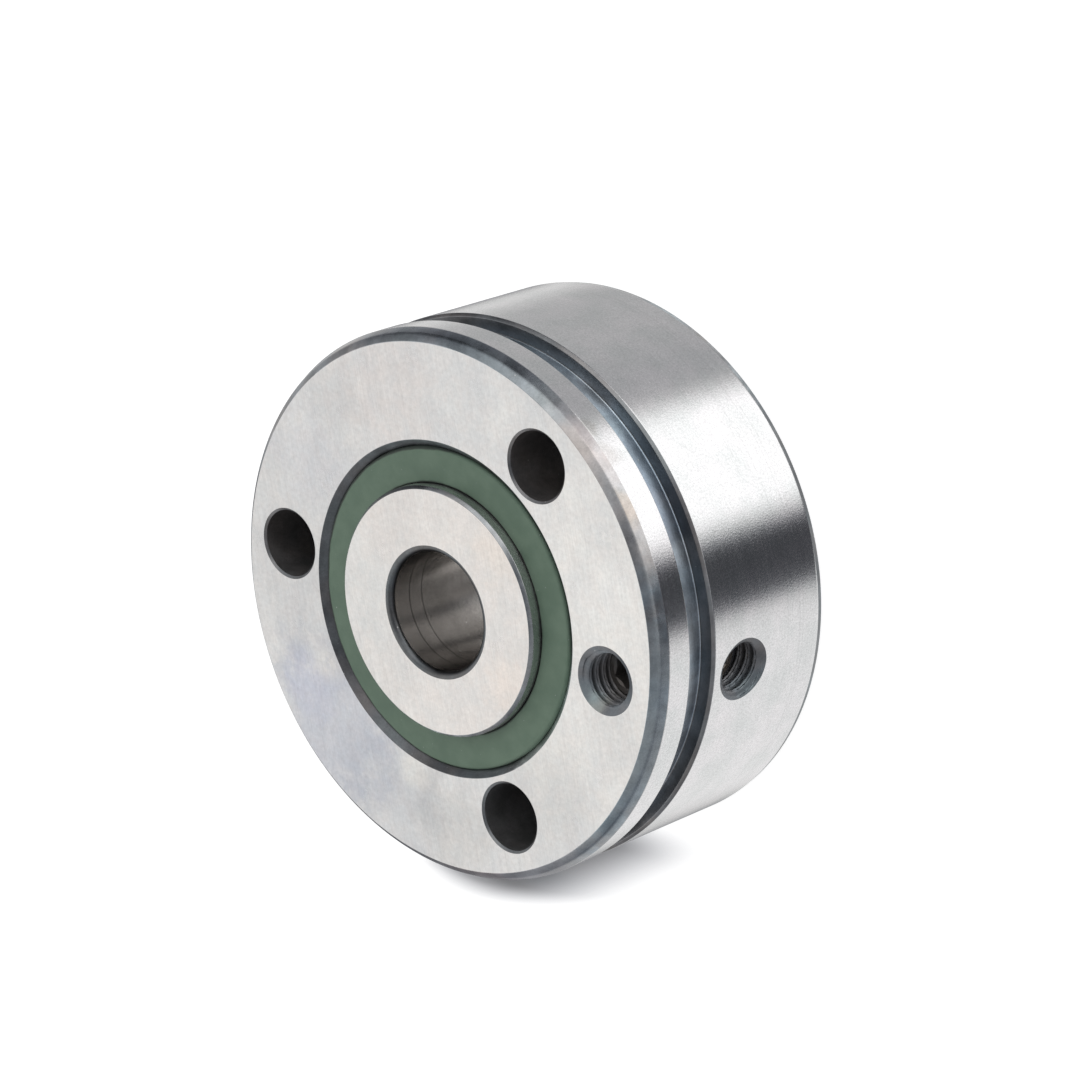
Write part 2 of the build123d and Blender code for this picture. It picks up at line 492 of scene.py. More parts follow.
def new_material(name):
    """Material with a Principled BSDF, and the node tree, shader and Object coordinates."""
    material = bpy.data.materials.new(name)
    material.use_nodes = True
    tree = material.node_tree
    shader = tree.nodes["Principled BSDF"]
    coordinates = tree.nodes.new("ShaderNodeTexCoord")
    return material, tree, shader, coordinates.outputs["Object"]


def bump(tree, height, distance, strength=1.0):
    node = tree.nodes.new("ShaderNodeBump")
    node.inputs["Strength"].default_value = strength
    node.inputs["Distance"].default_value = distance
    link(tree, height, node.inputs["Height"])
    return node.outputs["Normal"]


def patchy(tree, value, shade, light):
    """Colour that drifts between two as a noise does."""
    return blend_colours(tree, ramp_between(tree, value, 0.3, 0.7), shade, light)


def stained_and_lit(tree, position, colour, stains_and_light):
    """Multiply the colour by the tint of each stain or painted patch of light and shade: centre and size in
    millimetres, tint, amount.
    """
    for centre, size, tint, amount in stains_and_light:
        mask = place_group(tree, effects["stain_and_light_patch"], Position=position, Size=size * MM,
                           Centre=[value * MM for value in centre])["Mask"]
        colour = blend_colours(tree, calc(tree, "MULTIPLY", mask, amount), colour,
                               blend_colours(tree, 1.0, colour, tint, "MULTIPLY"))
    return colour


def ground_face_steel(name, light, shade, direction, stains_and_light):
    """Flat ground face: bright steel with straight fine lines, faint stains and painted patches of light
    and shade.
    """
    material, tree, shader, position = new_material(name)
    lines, clouds, mottle, scratches = place_group(tree, effects["straight"], Position=position,
                                                   Direction=direction)
    colour = patchy(tree, clouds, shade, light)
    hue = blend_colours(tree, ramp_between(tree, noise(tree, position, 620.0, 4.0, 0.65), 0.38, 0.62),
                        (1.015, 1.024, 1.026), (1.034, 1.022, 1.014))
    colour = blend_colours(tree, 1.0, colour, hue, "MULTIPLY")
    colour = stained_and_lit(tree, position, colour, stains_and_light)
    brightness = varied(tree, (lines, 0.32), (mottle, 0.40))
    brightness = calc(tree, "SUBTRACT", brightness, calc(tree, "MULTIPLY", scratches, 0.06))
    colour = shaded(tree, colour, brightness)
    link(tree, colour, shader.inputs["Base Color"])
    shader.inputs["Metallic"].default_value = 1.0
    link(tree, ramp_between(tree, clouds, 0.3, 0.7, 0.27, 0.34), shader.inputs["Roughness"])
    height = calc(tree, "ADD", calc(tree, "ADD", lines, mottle), calc(tree, "MULTIPLY", scratches, 0.8))
    link(tree, bump(tree, height, 0.006 * MM, 0.35), shader.inputs["Normal"])
    return material


def ground_rim_steel(name, light, shade, roughness, stains_and_light=(), marks=()):
    """Surface ground round the axis; marks are dark rings: height in mm, and share of light kept."""
    material, tree, shader, position = new_material(name)
    made = place_group(tree, effects["round"], Position=position)
    colour = patchy(tree, made["Clouds"], shade, light)
    colour = stained_and_lit(tree, position, colour, stains_and_light)
    brightness = varied(tree, (made["Lines"], 0.20), (made["Grain"], 0.70), (made["Clouds"], 0.16))
    for height, kept in marks:
        apart = calc(tree, "ABSOLUTE", calc(tree, "SUBTRACT", made["Height"], height * MM))
        brightness = calc(tree, "MULTIPLY", brightness,
                          ramp_between(tree, apart, 0.04 * MM, 0.14 * MM, kept, 1.0))
    colour = shaded(tree, colour, brightness)
    colour = blend_colours(tree, calc(tree, "MULTIPLY", made["Nicks"], 0.7), colour, (0.97, 0.97, 0.97))
    link(tree, colour, shader.inputs["Base Color"])
    shader.inputs["Metallic"].default_value = 1.0
    shader.inputs["Anisotropic"].default_value = 0.7
    shader.inputs["Anisotropic Rotation"].default_value = 0.25
    tangent = tree.nodes.new("ShaderNodeTangent")
    tangent.direction_type = "RADIAL"
    tangent.axis = "Z"
    link(tree, tangent.outputs[0], shader.inputs["Tangent"])
    rough = ramp_between(tree, made["Lines"], 0.3, 0.7, roughness - 0.02, roughness + 0.02)
    link(tree, rough, shader.inputs["Roughness"])
    height = calc(tree, "ADD", calc(tree, "MULTIPLY", made["Lines"], 0.4), made["Grain"])
    link(tree, bump(tree, height, 0.02 * MM, 0.35), shader.inputs["Normal"])
    return material


def hardened_steel(name, steel, amount, roughness, stains_and_light=(), metallic=1.0):
    """Turned surface left dark from hardening."""
    material, tree, shader, position = new_material(name)
    made = place_group(tree, effects["round"], Position=position)
    tint = place_group(tree, effects["tint"], Position=position, Steel=(*steel, 1.0), Amount=amount)
    colour = stained_and_lit(tree, position, tint["Colour"], stains_and_light)
    blotches = noise(tree, position, 950.0, 3.0, 0.6)
    brightness = varied(tree, (made["Lines"], 0.3), (made["Grain"], 0.5), (blotches, 0.5))
    colour = shaded(tree, colour, brightness)
    colour = blend_colours(tree, calc(tree, "MULTIPLY", made["Nicks"], 0.5), colour, (0.7, 0.7, 0.7))
    link(tree, colour, shader.inputs["Base Color"])
    shader.inputs["Metallic"].default_value = metallic
    rough = ramp_between(tree, tint["Patches"], 0.3, 0.7, roughness - 0.05, roughness + 0.05)
    link(tree, rough, shader.inputs["Roughness"])
    link(tree, bump(tree, made["Lines"], 0.016 * MM, 0.4), shader.inputs["Normal"])
    return material


def seal_rubber():
    material, tree, shader, position = new_material("seal_rubber_green")
    broad = noise(tree, position, 420.0, 4.0)
    fine = noise(tree, position, 5200.0, 3.0)
    made = place_group(tree, effects["round"], Position=position)
    colour = patchy(tree, broad, (0.111, 0.179, 0.126), (0.150, 0.223, 0.163))
    # Painted shade: a dark band in the gap along the seal's outer edge, wider towards -X, and another next
    # to the lip
    uneven = calc(tree, "MULTIPLY", calc(tree, "SUBTRACT", broad, 0.5), 0.4 * MM)
    radius = calc(tree, "ADD", made["Radius"], uneven)
    reach = ramp_between(tree, separate(tree, position)[0], 6 * MM, -8 * MM, 0.12 * MM, 0.46 * MM)
    edge = calc(tree, "SUBTRACT", seat_r, reach)
    seam = calc(tree, "MAXIMUM", ramp_between(tree, radius, edge, calc(tree, "ADD", edge, 0.2 * MM)),
                ramp_between(tree, radius, lip_r + 0.25 * MM, lip_r))
    colour = blend_colours(tree, calc(tree, "MULTIPLY", seam, 0.85), colour, (0.018, 0.022, 0.020))
    dust = ramp_between(tree, noise(tree, position, 3300.0, 1.0), 0.775, 0.80)
    colour = blend_colours(tree, calc(tree, "MULTIPLY", dust, 0.5), colour, (0.7, 0.72, 0.7))
    link(tree, colour, shader.inputs["Base Color"])
    link(tree, ramp_between(tree, broad, 0.3, 0.7, 0.55, 0.68), shader.inputs["Roughness"])
    link(tree, bump(tree, fine, 0.02 * MM, 0.5), shader.inputs["Normal"])
    return material


def cage_plastic():
    material, tree, shader, position = new_material("cage_polyamide")
    broad = noise(tree, position, 300.0, 3.0)
    colour = patchy(tree, broad, (0.56, 0.49, 0.34), (0.66, 0.60, 0.45))
    link(tree, colour, shader.inputs["Base Color"])
    link(tree, ramp_between(tree, broad, 0.3, 0.7, 0.42, 0.52), shader.inputs["Roughness"])
    link(tree, bump(tree, noise(tree, position, 3800.0), 0.01 * MM, 0.4), shader.inputs["Normal"])
    return material


def polished_ball_steel():
    material, tree, shader, position = new_material("ball_polished_steel")
    broad = noise(tree, position, 350.0, 3.0)
    colour = patchy(tree, broad, (0.68, 0.69, 0.70), (0.78, 0.78, 0.78))
    link(tree, colour, shader.inputs["Base Color"])
    shader.inputs["Metallic"].default_value = 1.0
    link(tree, ramp_between(tree, broad, 0.3, 0.7, 0.05, 0.10), shader.inputs["Roughness"])
    return material


grinding_direction = math.radians(108)

# Stains and painted patches of light and shade of each surface: centre and size in millimetres, tint,
# amount
# The broad patch that lightens the +X half and the grey patches that darken the -X side are painted light
# and shade; the tinted ones are stains
face_stains_and_shading = [
    ((20, 3, 24), 22, (1.12, 1.11, 1.09), 1.0),
    ((-23, 3, 24), 15, (0.95, 0.95, 0.95), 0.9),
    ((-17, -5, 24), 9, (0.92, 0.92, 0.925), 0.9),
    ((-14, -17, 24), 11, (0.83, 0.85, 0.91), 1.0),
    ((-17, -14, 24), 4, (0.96, 0.97, 1.03), 0.9),
    ((-5, -22, 24), 9, (0.88, 0.89, 0.91), 1.0),
    ((3, -22, 24), 6, (0.90, 0.895, 0.885), 0.9),
    ((-19, 10, 24), 6, (0.96, 0.965, 0.99), 0.9),
    ((-16, 16, 24), 5, (0.94, 0.94, 0.94), 0.9),
    ((-9, 20, 24), 8, (0.99, 0.96, 0.95), 0.9),
    ((15, -14, 24), 7, (0.92, 0.92, 0.915), 0.9),
    ((23, -5, 24), 5, (0.92, 0.92, 0.925), 0.9),
    ((-15, -11, 24), 2.2, (1.13, 1.10, 1.04), 1.0),
    ((-2.5, -18, 24), 2.2, (1.15, 1.13, 1.08), 1.0),
    ((20, 8, 24), 3.5, (1.05, 1.05, 1.05), 0.8),
]
inner_face_stains = [
    ((10, -4, 25), 4, (1.04, 1.0, 0.97), 0.9),
    ((7, 8, 25), 4, (1.02, 0.99, 0.96), 0.9),
    ((-10, 0, 25), 6, (0.95, 0.975, 0.985), 0.9),
    ((-7, -7, 25), 6, (0.95, 0.96, 0.965), 0.9),
    ((-6, 8, 25), 5, (0.955, 0.95, 0.95), 0.9),
]
# The last entry is painted shade along the bottom edge, where it mirrors the table's shadow; the others are
# tints of the steel
edge_stains_and_shade = [
    ((28, -4, 23), 20, (0.84, 0.97, 1.04), 1.0),
    ((12, -25, 23), 12, (1.02, 0.95, 0.97), 0.9),
    ((17, 21, 23), 9, (1.05, 0.99, 0.96), 1.0),
    ((2, 27, 23), 10, (0.95, 0.99, 1.03), 0.8),
    ((-2, -26.7, 23.6), 8, (0.78, 0.78, 0.79), 1.0),
]
# The first added entry is painted shade along the bottom, like the edge's last entry; the other two are
# stains
taper_stains_and_shade = edge_stains_and_shade + [
    ((1.9, -27, 22.8), 9, (0.42, 0.43, 0.45), 1.0),
    ((13.5, 23.8, 23), 4, (0.74, 0.74, 0.76), 0.9),
    ((21, 17, 23.2), 2.5, (1.0, 0.92, 0.82), 0.8),
]
rim_stains = [
    ((17.5, 21.2, 22.4), 1.8, (0.80, 0.78, 0.76), 0.8),
    ((15.0, 23.0, 22.4), 1.2, (0.85, 0.82, 0.80), 0.8),
]
# Painted shade: dims the bright reflection on the groove floor towards +X +Y
floor_painted_shade = [((19.5, 17.0, 17.8), 7, (0.55, 0.56, 0.60), 0.9)]
# Painted light: the back bevel is made lighter towards +Y
back_painted_light = [((3, 27, 0), 17, (2.3, 2.28, 2.25), 1.0)]
# Painted light and shade: the mouth chamfer is made much lighter towards +X, lighter towards +Y, and darker
# towards -X -Y
mouth_painted_light_and_shade = [
    ((17, -5, 24), 11, (4.0, 4.0, 3.8), 1.0),
    ((0, 17, 24), 9, (1.9, 1.9, 1.9), 0.9),
    ((-11, -12, 24), 7, (0.75, 0.72, 0.72), 0.8),
]
# A lighter, greener patch on the countersink of the axial hole
thread_greener_patch = [((19.8, -2.8, 23.6), 1.5, (1.45, 1.55, 1.45), 0.9)]
screw_stains = [((25, 0, 11.6), 5, (1.6, 1.45, 1.25), 1.0)]
# Painted light and shade: the flange chamfer is made lighter towards -X and -Y and much darker towards -X
# +Y
flange_painted_light_and_shade = [
    ((-10, -6, 25), 13, (2.15, 2.13, 2.1), 1.0),
    ((0.5, -12.4, 25), 6, (1.7, 1.7, 1.7), 0.9),
    ((-6, 11, 25), 5, (0.3, 0.3, 0.3), 0.9),
]

materials = {
    "front face": ground_face_steel("outer_ring_ground_face", (0.70, 0.695, 0.69), (0.635, 0.635, 0.64),
                                    grinding_direction, face_stains_and_shading),
    "inner face": ground_face_steel("inner_ring_ground_face", (0.765, 0.735, 0.712), (0.70, 0.682, 0.67),
                                    grinding_direction, inner_face_stains),
    "rim": ground_rim_steel("ground_rim", (0.755, 0.745, 0.762), (0.70, 0.715, 0.722), 0.17, rim_stains,
                            ((5.2, 0.95), (3.4, 0.93), (2.9, 0.95))),
    "flange": ground_rim_steel("ground_flange", (0.76, 0.74, 0.76), (0.66, 0.64, 0.66), 0.26),
    "bore": ground_rim_steel("bore_steel", (0.54, 0.52, 0.505), (0.44, 0.425, 0.41), 0.22,
                             marks=((22.35, 0.5), (20.65, 0.55))),
    "raceway": ground_rim_steel("raceway_polished", (0.72, 0.72, 0.72), (0.68, 0.68, 0.68), 0.08),
    "taper": hardened_steel("front_taper", (0.53, 0.53, 0.54), 0.5, 0.26, taper_stains_and_shade),
    "edge": hardened_steel("turned_edge", (0.44, 0.45, 0.462), 0.5, 0.30, edge_stains_and_shade),
    "floor": hardened_steel("groove_floor", (0.67, 0.76, 0.84), 0.4, 0.38, floor_painted_shade),
    "wall": hardened_steel("groove_wall", (0.215, 0.222, 0.235), 0.3, 0.36),
    "back edge": hardened_steel("back_bevel", (0.29, 0.30, 0.31), 0.5, 0.5, back_painted_light),
    "dark": hardened_steel("hardened_edge", (0.18, 0.20, 0.215), 0.8, 0.36),
    "mouth": hardened_steel("mouth_chamfer", (0.178, 0.183, 0.19), 0.6, 0.36, mouth_painted_light_and_shade),
    "bore edge": hardened_steel("bore_rounding", (0.15, 0.157, 0.163), 0.6, 0.36),
    "groove edge": hardened_steel("groove_chamfer", (0.33, 0.33, 0.335), 0.5, 0.36),
    "flange edge": hardened_steel("flange_chamfer", (0.44, 0.45, 0.46), 0.4, 0.26, flange_painted_light_and_shade),
    "hole edge": hardened_steel("screw_hole_chamfer", (0.26, 0.26, 0.265), 0.5, 0.36),
    "hole": hardened_steel("screw_hole_wall", (0.22, 0.21, 0.21), 0.5, 0.36, metallic=0.6),
    "thread": hardened_steel("thread_steel", (0.26, 0.268, 0.28), 1.0, 0.46, thread_greener_patch, 0.75),
    "screw": hardened_steel("set_screw_black", (0.20, 0.20, 0.20), 1.0, 0.42, screw_stains, 0.6),
    "rubber": seal_rubber(),
    "cage": cage_plastic(),
    "ball": polished_ball_steel(),
}


# Outer ring


def ring_end(side):
    """Mouth, bead groove and seat of one end of the ring's bore, from the face inwards."""
    face = ring_width if side > 0 else 0.0
    bead_mid = seal_recess + seal_bead_depth
    bead_half = seal_bead_width / 2 + seal_clearance
    bead_r = seat_r + seal_bead_height
    return [
        (seat_r + mouth_chamfer, face, ground_edge),
        (seat_r, face - side * mouth_chamfer),
        (seat_r, face - side * (bead_mid - bead_half)),
        (bead_r, face - side * (bead_mid - bead_half)),
        (bead_r, face - side * (bead_mid + bead_half)),
        (seat_r, face - side * (bead_mid + bead_half)),
    ]


def outer_raceway(side):
    height = mid_plane + side * (row_offset + track_shift)
    return arc(outer_track_r, height, raceway_r, 0, -side * shoulder_angle, 10)


def ring_rim():
    """Rim from the back face to the front face."""
    return [
        (outer_r - back_bevel_width, 0.0, fine_edge),
        (outer_r, back_bevel_depth, back_bevel_round),
        (outer_r, groove_bottom - groove_back_chamfer, ground_edge),
        (outer_r - groove_back_chamfer, groove_bottom, ground_edge),
        (groove_r, groove_bottom, groove_back_corner),
        (groove_r, groove_top, groove_front_corner),
        (outer_r - groove_front_chamfer, groove_top, groove_lip_edge),
        (outer_r, groove_top + groove_front_chamfer, fine_edge),
        (outer_r, ring_width - chamfer_depth - taper_depth, rim_edge),
        (outer_r - taper_width, ring_width - chamfer_depth, taper_round),
        (outer_r - taper_width - chamfer_width, ring_width, ground_edge),
    ]


def screw_hole_cutter(angle):
    """Through hole with a chamfer at both faces."""
    over = 0.5 * MM
    wide_r = screw_hole_r + screw_hole_chamfer * (1 + over / screw_hole_chamfer_depth)
    outline = [
        (0.0, -over),
        (wide_r, -over),
        (screw_hole_r, screw_hole_chamfer_depth),
        (screw_hole_r, ring_width - screw_hole_chamfer_depth),
        (wide_r, ring_width + over),
        (0.0, ring_width + over),
    ]
    bm = turned(outline, 96, closed=False)
    offset = Matrix.Rotation(angle, 4, "Z") @ Matrix.Translation((hole_circle_r, 0, 0))
    bmesh.ops.transform(bm, matrix=offset, verts=bm.verts)
    return as_object("screw_hole_cutter", bm)


def thread_radius(angle, depth, start):
    """Radius of a formed internal thread: narrow round roots, and flat crests with a shallow seam."""
    phase = (depth / thread_pitch + angle / FULL_TURN + start) % 1.0
    rise = min(phase, 1.0 - phase) * 2
    height = min(1.0, max(0.0, (rise - root_share) / flank_share))
    soft = height * height * (3 - 2 * height)
    seam = max(0.0, (rise - seam_start) / (1 - seam_start))
    crest = height * 0.6 + soft * 0.4 - seam_depth * seam
    return thread_major_r + (thread_minor_r - thread_major_r) * crest


def tapped_hole_cutter(name, reach, start, placing):
    """Conical mouth, threaded part and drilling, opening upwards at z = 0 before it is placed."""
    rows = round(thread_rows_per_mm * thread_length / MM)
    over = 0.5 * MM
    point_depth = (thread_minor_r - drilling_r) / math.tan(drill_point_half_angle)
    outline = [(0.0, over), (tapped_mouth_r + over * countersink_slope, over), (tapped_mouth_r, 0.0)]
    outline += [(thread_minor_r, -thread_length * row / rows) for row in range(1, rows + 1)]
    outline += [(drilling_r, -thread_length - point_depth), (drilling_r, -reach), (0.0, -reach)]
    bm = turned(outline, 80, closed=False)
    for vert in bm.verts:
        depth = -vert.co.z
        if 0 < depth < thread_length * 0.98 and vert.co.xy.length > drilling_r * 1.5:
            angle = math.atan2(vert.co.y, vert.co.x)
            radius = max(thread_radius(angle, depth, start), tapped_mouth_r - depth * countersink_slope)
            vert.co.xy = vert.co.xy.normalized() * radius
    bmesh.ops.transform(bm, matrix=placing, verts=bm.verts)
    return as_object(name, bm)


axial_mouth = Matrix.Translation((hole_circle_r, 0, ring_width))
radial_mouth = Matrix.Translation((outer_r, 0, radial_hole_height)) @ Matrix.Rotation(math.pi / 2, 4, "Y")


def near_hole(centre):
    """True inside a screw hole or its chamfer."""
    reach = screw_hole_r + screw_hole_chamfer + 4 * hair
    return any((centre.xy - Vector((math.cos(a), math.sin(a))) * hole_circle_r).length < reach
               for a in screw_hole_angles)


def in_tapped_hole(centre):
    """True on the mouth, the thread or the drilling of a lubrication hole."""
    axial = (centre.xy - Vector((hole_circle_r, 0))).length < tapped_mouth_r + hair
    side = Vector((centre.y, centre.z - radial_hole_height)).length < tapped_mouth_r + hair
    return (axial and centre.z > radial_hole_height) or (side and centre.x > seat_r)


def outside(centre, radius):
    return centre.xy.length > radius


def in_groove(centre):
    """True between the walls of the extraction groove."""
    return groove_bottom - 5 * hair < centre.z < groove_top + 5 * hair


front_edge = ring_width - chamfer_depth - taper_depth
ring_zones = [
    ("rim", lambda c, n: n.xy.dot(c.xy) > 0.995 * c.xy.length and outside(c, outer_r - 0.05 * MM)),
    ("thread", lambda c, n: in_tapped_hole(c) and abs(n.z) < level),
    ("hole edge", lambda c, n: near_hole(c) and 0.3 < abs(n.z) < level),
    ("hole", lambda c, n: near_hole(c) and abs(n.z) < level),
    ("front face", lambda c, n: abs(n.z) > level and outside(c, seat_r + 0.6 * MM) and not in_groove(c)),
    ("rim", lambda c, n: outside(c, outer_r - 0.03 * MM)),
    ("taper", lambda c, n: c.z > front_edge - 0.01 * MM and abs(n.z) < 0.62 and outside(c, groove_r)),
    ("edge", lambda c, n: c.z > groove_top + hair and outside(c, groove_r)),
    ("back edge", lambda c, n: c.z < back_bevel_depth and abs(n.z) < 0.9 and outside(c, groove_r)),
    ("groove edge", lambda c, n: groove_bottom - 0.35 * MM < c.z < groove_bottom - hair
     and outside(c, groove_r)),
    ("floor", lambda c, n: abs(n.z) < 0.9 and outside(c, groove_r - 5 * hair)
     and not outside(c, groove_r + 3 * hair)),
    ("wall", lambda c, n: in_groove(c) and outside(c, groove_r)),
    ("mouth", lambda c, n: abs(n.z) > 0.3 and outside(c, seat_r)
     and not outside(c, seat_r + mouth_chamfer + 5 * hair)),
    ("raceway", lambda c, n: 3 * MM < c.z < ring_width - 3 * MM and not outside(c, seat_r - hair)),
    ("dark", lambda c, n: True),
]


def build_outer_ring():
    outline = ring_rim() + ring_end(1) + outer_raceway(1)
    outline += list(reversed(outer_raceway(-1))) + list(reversed(ring_end(-1)))
    ring = as_object("outer_ring_dressed", turned(outline, 360))
    rib_r = outer_raceway(1)[-1][0]
    cutters = [screw_hole_cutter(angle) for angle in screw_hole_angles]
    cutters.append(tapped_hole_cutter("axial_cutter", ring_width - radial_hole_height, axial_thread_start,
                                      axial_mouth))
    cutters.append(tapped_hole_cutter("radial_cutter", outer_r - rib_r + row_offset / 2,
                                      radial_thread_start, radial_mouth))
    cut(ring, cutters)
    smooth_between_edges(ring)
    finish_zones(ring, ring_zones)
    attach(ring, "root")
    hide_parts("outer_ring")


# Inner ring halves


inner_zones = [
    ("inner face", lambda c, n: abs(n.z) > level),
    ("bore", lambda c, n: n.xy.dot(c.xy) < 0 and not outside(c, bore_r + hair)),
    ("bore edge", lambda c, n: n.xy.dot(c.xy) < 0 and not outside(c, bore_r + bore_edge)),
    ("flange", lambda c, n: outside(c, shoulder_r - 0.01 * MM)),
    ("flange edge", lambda c, n: outside(c, shoulder_r - flange_chamfer * 1.2)),
    ("raceway", lambda c, n: True),
]


def inner_half_outline():
    """Front half: flange, raceway and the foot that meets the rear half."""
    joint = mid_plane + halves_gap / 2
    floor_r = inner_track_r - raceway_r
    raceway = arc(inner_track_r, mid_plane + row_offset - track_shift, raceway_r, math.pi,
                  -shoulder_angle, 10)
    return raceway + [
        (shoulder_r, inner_top - flange_chamfer, fine_edge),
        (shoulder_r - flange_chamfer, inner_top, fine_edge),
        (bore_r, inner_top, bore_edge),
        (bore_r, joint + joint_chamfer),
        (bore_r + joint_chamfer, joint),
        (floor_r - joint_chamfer, joint),
        (floor_r, joint + joint_chamfer),
    ]


def build_inner_half(name, body, node, mirrored):
    outline = inner_half_outline()
    if mirrored:
        outline = [(point[0], 2 * mid_plane - point[1], *point[2:]) for point in outline]
    half = as_object(name, turned(outline, 256))
    smooth_between_edges(half)
    finish_zones(half, inner_zones)
    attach(half, body)
    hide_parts(node)


# Seals


def seal_outline():
    face = ring_width - seal_recess
    back = face - seal_thickness
    rim_r = seat_r - seal_clearance
    bead_r = rim_r + seal_bead_height - seal_clearance
    bead_top = face - seal_bead_depth + seal_bead_width / 2
    bead_bottom = bead_top - seal_bead_width
    return [
        (rim_r, face, seal_edge),
        (lip_r, face, lip_edge),
        (lip_r, face - lip_height, thin_moulded_edge),
        (lip_r + lip_root_width, face - seal_web, moulded_edge),
        (rim_r - seal_heel_width, face - seal_web, moulded_edge),
        (rim_r - seal_heel_width, back, moulded_edge),
        (rim_r, back, moulded_edge),
        (rim_r, bead_bottom),
        (bead_r, bead_bottom, thin_moulded_edge),
        (bead_r, bead_top, thin_moulded_edge),
        (rim_r, bead_top),
    ]


def build_seal(name, node, mirrored):
    outline = seal_outline()
    if mirrored:
        outline = [(point[0], ring_width - point[1], *point[2:]) for point in outline]
    seal = as_object(name, turned(outline, 256))
    smooth_between_edges(seal, 40)
    seal.data.materials.append(materials["rubber"])
    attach(seal, "root")
    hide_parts(node)


# Set screws


def build_set_screw(name, node, mouth, depth, length, start):
    """Headless screw with a hexagon socket, turned to the same thread as its hole."""
    rows = round(screw_rows_per_mm * length / MM)
    outline = [(0.0, -depth), (screw_core_r, -depth)]
    outline += [(screw_core_r, -depth - length * row / rows) for row in range(1, rows)]
    outline += [(screw_core_r, -depth - length), (0.0, -depth - length)]
    bm = turned(outline, 80, closed=False)
    for vert in bm.verts:
        inwards = min(-vert.co.z - depth, length + depth + vert.co.z)
        if vert.co.xy.length > screw_core_r * 0.9:
            angle = math.atan2(vert.co.y, vert.co.x)
            thread = thread_radius(angle, -vert.co.z, start) - screw_clearance
            radius = min(thread, screw_core_r - screw_tip / 2 + inwards)
            vert.co.xy = vert.co.xy.normalized() * radius
    screw = as_object(name, bm)
    bm = bmesh.new()
    bmesh.ops.create_cone(bm, cap_ends=True, segments=6, radius1=socket_across_flats / math.sqrt(3),
                          radius2=socket_across_flats / math.sqrt(3), depth=socket_depth * 2)
    bmesh.ops.translate(bm, vec=(0, 0, -depth), verts=bm.verts)
    hexagon = as_object("hexagon_cutter", bm)
    bm = bmesh.new()
    lead_in = socket_across_flats / 2 + socket_lead_in
    bmesh.ops.create_cone(bm, cap_ends=True, segments=64, radius1=0.0, radius2=lead_in * 2,
                          depth=lead_in * 2)
    bmesh.ops.translate(bm, vec=(0, 0, -depth), verts=bm.verts)
    cone = as_object("lead_in_cutter", bm)
    cut(screw, [hexagon, cone])
    screw.data.transform(mouth)
    smooth_between_edges(screw)
    screw.data.materials.append(materials["screw"])
    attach(screw, "root")
    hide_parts(node)


build_outer_ring()
build_inner_half("inner_ring_front_dressed", "inner_front", "inner_ring_front", False)
build_inner_half("inner_ring_rear_dressed", "inner_rear", "inner_ring_rear", True)
build_seal("seal_front_dressed", "seal_front", False)
build_seal("seal_rear_dressed", "seal_rear", True)
screw_length = axial_screw_high.z - axial_screw_low.z
build_set_screw("set_screw_axial_dressed", "set_screw_axial", axial_mouth,
                ring_width - axial_screw_high.z, screw_length, axial_thread_start)
build_set_screw("set_screw_radial_dressed", "set_screw_radial", radial_mouth,
                outer_r - radial_screw_high.x, screw_length, radial_thread_start)


def dress_node(node, material):
    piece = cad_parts[node]
    piece.data.materials.clear()
    piece.data.materials.append(material)


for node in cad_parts:
    if node.startswith("ball_"):
        dress_node(node, materials["ball"])
    if node.startswith("cage_"):
        dress_node(node, materials["cage"])


# Floor under the back face, and the table that the rim rests on in the photograph


def white_surface(name, albedo):
    """Matt white seen only from above, with the node of its light, which only the camera sees."""
    material = bpy.data.materials.new(name)
    material.use_nodes = True
    tree = material.node_tree
    shader = tree.nodes["Principled BSDF"]
    shader.inputs["Base Color"].default_value = (albedo, albedo, albedo, 1.0)
    shader.inputs["Roughness"].default_value = 1.0
    shader.inputs["Specular IOR Level"].default_value = 0.0
    shader.inputs["Emission Color"].default_value = (1.0, 1.0, 1.0, 1.0)
    rays = tree.nodes.new("ShaderNodeLightPath")
    above = calc(tree, "SUBTRACT", 1.0, tree.nodes.new("ShaderNodeNewGeometry").outputs["Backfacing"])
    return material, tree, shader, rays.outputs["Is Camera Ray"], above


def plane(name, size, material):
    """Square of the floor or the table; it casts no shadow and isn't mirrored in the steel."""
    bm = bmesh.new()
    bmesh.ops.create_grid(bm, x_segments=1, y_segments=1, size=size)
    surface = as_object(name, bm)
    surface.data.materials.append(material)
    surface.visible_glossy = False
    surface.visible_shadow = False
    return surface


def slanting(tree, start, end):
    """Share that grows from 0 to 1 as the surface is seen more and more at a slant."""
    slant = tree.nodes.new("ShaderNodeLayerWeight")
    slant.inputs["Blend"].default_value = 0.5
    return ramp_between(tree, slant.outputs["Facing"], start, end)


def pale_floor():
    """Floor under the ring's back face, which shows more of its shadow when it is seen at a slant."""
    material, tree, shader, camera_ray, above = white_surface("floor_white", 0.45)
    low = calc(tree, "MULTIPLY", slanting(tree, 0.345, 0.43), camera_ray)
    link(tree, blend_colours(tree, low, (0.45, 0.45, 0.45), (0.8, 0.8, 0.8)), shader.inputs["Base Color"])
    glow = calc(tree, "SUBTRACT", 0.84, calc(tree, "MULTIPLY", low, 0.36))
    link(tree, calc(tree, "MULTIPLY", camera_ray, glow), shader.inputs["Emission Strength"])
    link(tree, above, shader.inputs["Alpha"])
    floor = plane("floor", 4.0, material)
    floor.location.z = -0.05 * MM


